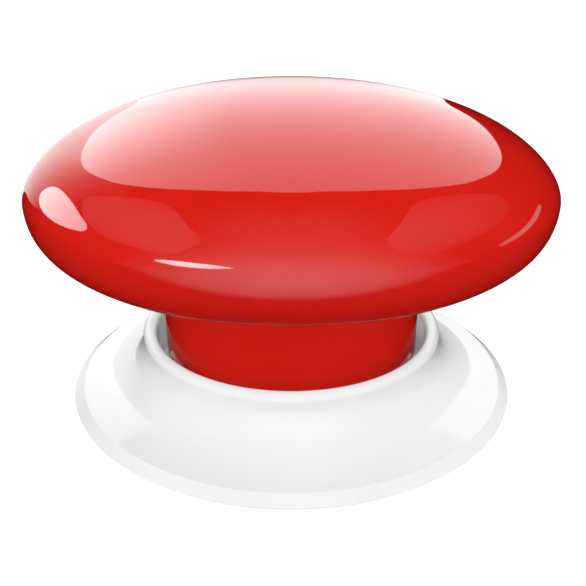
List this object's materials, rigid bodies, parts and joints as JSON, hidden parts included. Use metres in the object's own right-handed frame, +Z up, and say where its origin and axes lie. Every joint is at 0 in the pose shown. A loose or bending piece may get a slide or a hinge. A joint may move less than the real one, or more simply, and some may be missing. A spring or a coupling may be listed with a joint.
{
  "type": "smart button",
  "caption": "Wireless push button: lens-shaped cap on a stem, twist-locked into a flared base, with cell and switches inside.",
  "frame": {"origin": "centre of the underside of the foot pad", "axes": "+Z up along the button's axis, from the table to the crown; +X and +Y are free, because the outside is round"},
  "size_m": [0.054, 0.054, 0.0328],
  "materials": {
    "red_gloss": "high-gloss moulded red",
    "white_gloss": "high-gloss moulded white",
    "white_matte": "fine matte moulded white",
    "foam": "closed-cell adhesive foam",
    "natural_plastic": "natural acetal, satin",
    "spring_steel": "rolled spring steel",
    "black_plastic": "black moulded, fine texture",
    "cell_jacket": "shrunk plastic jacket",
    "nickel": "nickel plated sheet",
    "board": "solder mask over glass laminate",
    "chip_black": "moulded epoxy",
    "can_aluminium": "bare can",
    "ceramic": "fired ceramic",
    "antenna_wire": "tinned copper wire",
    "plunger_grey": "moulded, smooth"
  },
  "bodies": {
    "base": {"base_shell": "white_gloss", "base_plate": "white_matte", "foot_pad": "foam"},
    "carrier": {"lock_carrier": "natural_plastic", "wave_spring": "spring_steel"},
    "cap": {"dome_cover": "red_gloss", "neck_shell": "red_gloss", "battery_holder": "black_plastic", "battery_cell": "cell_jacket", "positive_contact": "nickel", "negative_contact": "nickel", "main_board": "board", "board_screws": "nickel", "switch_housings": "black_plastic", "switch_covers": "nickel", "radio_module": "board", "radio_chip": "chip_black", "radio_shield": "nickel", "microcontroller": "chip_black", "crystal": "nickel", "buffer_capacitor": "can_aluminium", "buzzer": "black_plastic", "chip_capacitors": "ceramic", "chip_resistors": "chip_black", "antenna": "antenna_wire"},
    "plungers": {"switch_plungers": "plunger_grey"}
  },
  "joints": [
    {"name": "twist", "type": "hinge", "parent": "base", "child": "carrier", "pos_m": [0, 0, 0], "axis": [0, 0, 1], "range_deg": [0, 30]},
    {"name": "press", "type": "slide", "parent": "carrier", "child": "cap", "axis": [0, 0, 1], "range_m": [-0.0008, 0], "stiffness_N_per_m": 2500, "springref_m": 0.0008, "deforming": ["wave_spring"]},
    {"name": "plunge", "type": "slide", "parent": "cap", "child": "plungers", "axis": [0, 0, 1], "range_m": [0, 0.0008]}
  ],
  "couplings": [
    {"joint": "plunge", "follows": "press", "ratio": -1}
  ]
}
